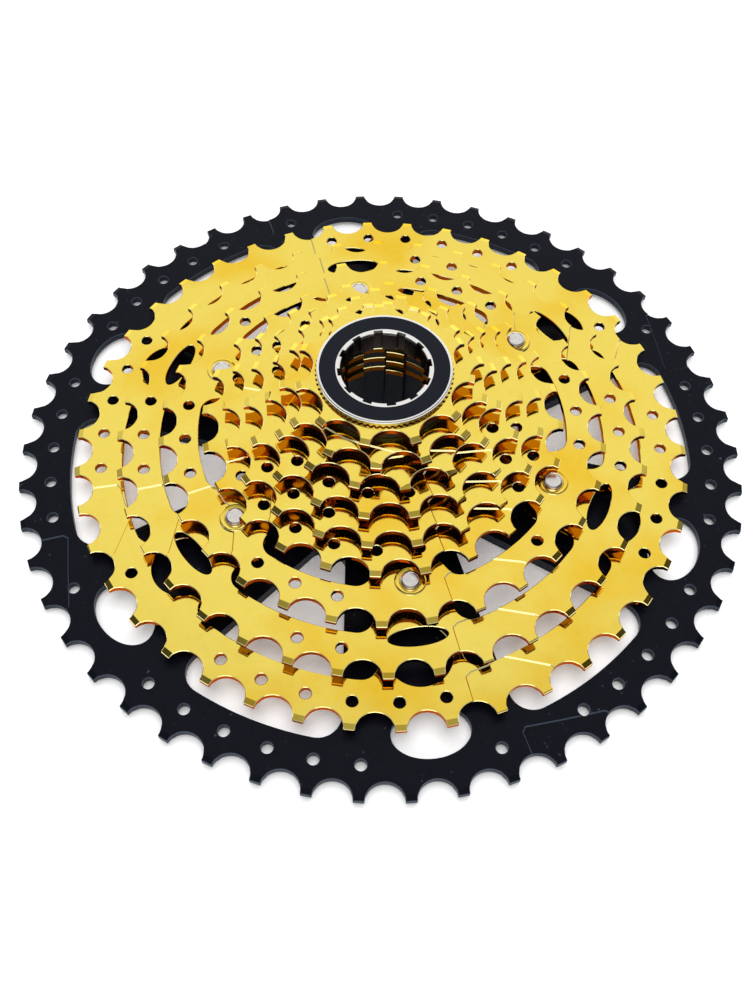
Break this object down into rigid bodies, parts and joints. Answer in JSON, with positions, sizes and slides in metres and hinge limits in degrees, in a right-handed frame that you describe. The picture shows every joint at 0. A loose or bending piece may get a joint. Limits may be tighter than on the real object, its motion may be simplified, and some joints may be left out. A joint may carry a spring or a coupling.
{
  "type": "bicycle cassette",
  "caption": "Stack of toothed cogs in steps of size, large black cog with a spider and smaller gold cogs, held on a splined bore by a lock ring.",
  "frame": {"origin": "centre of the back face of the large cog's spider and hub boss, on the axis of rotation", "axes": "+Z along the axis of rotation towards the smallest cog and the lock ring, +X through one spider arm and its rivet"},
  "size_m": [0.2042, 0.204, 0.0406],
  "materials": {
    "black_aluminium": "black anodised, satin",
    "gold_steel": "polished steel with a gold titanium nitride coating",
    "rivet_steel": "bright pressed heads",
    "black_plastic": "matt black",
    "lockring_steel": "bright turned steel with a black outer face"
  },
  "bodies": {
    "riveted_cluster": {"sprocket_50": "black_aluminium", "pads_50_42": "black_aluminium", "sprocket_42": "gold_steel", "pads_42_36": "black_aluminium", "sprocket_36": "gold_steel", "pads_36_30": "black_aluminium", "sprocket_30": "gold_steel", "rivets": "rivet_steel"},
    "cog_24": {"sprocket_24": "gold_steel"},
    "cog_21": {"spacer_24_21": "black_plastic", "sprocket_21": "gold_steel"},
    "cog_18": {"spacer_21_18": "black_plastic", "sprocket_18": "gold_steel"},
    "cog_15": {"spacer_18_15": "black_plastic", "sprocket_15": "gold_steel"},
    "cog_13": {"spacer_15_13": "black_plastic", "sprocket_13": "gold_steel"},
    "cog_11": {"spacer_13_11": "black_plastic", "sprocket_11": "gold_steel"},
    "washer": {"lockring_washer": "gold_steel"},
    "lockring": {"lockring": "lockring_steel"}
  },
  "joints": [
    {"name": "cog_24_lift", "type": "slide", "parent": "riveted_cluster", "child": "cog_24", "axis": [0, 0, 1], "range_m": [0, 0.012]},
    {"name": "cog_21_lift", "type": "slide", "parent": "cog_24", "child": "cog_21", "axis": [0, 0, 1], "range_m": [0, 0.012]},
    {"name": "cog_18_lift", "type": "slide", "parent": "cog_21", "child": "cog_18", "axis": [0, 0, 1], "range_m": [0, 0.012]},
    {"name": "cog_15_lift", "type": "slide", "parent": "cog_18", "child": "cog_15", "axis": [0, 0, 1], "range_m": [0, 0.012]},
    {"name": "cog_13_lift", "type": "slide", "parent": "cog_15", "child": "cog_13", "axis": [0, 0, 1], "range_m": [0, 0.012]},
    {"name": "cog_11_lift", "type": "slide", "parent": "cog_13", "child": "cog_11", "axis": [0, 0, 1], "range_m": [0, 0.012]},
    {"name": "washer_lift", "type": "slide", "parent": "cog_11", "child": "washer", "axis": [0, 0, 1], "range_m": [0, 0.004]},
    {"name": "lockring_turn", "type": "hinge", "parent": "washer", "child": "lockring", "pos_m": [0, 0, 0.04], "axis": [0, 0, 1], "range_deg": [0, 1440]}
  ],
  "couplings": [
    {"joint": "washer_lift", "follows": "lockring_turn", "m_per_rad": 0.00015915}
  ]
}
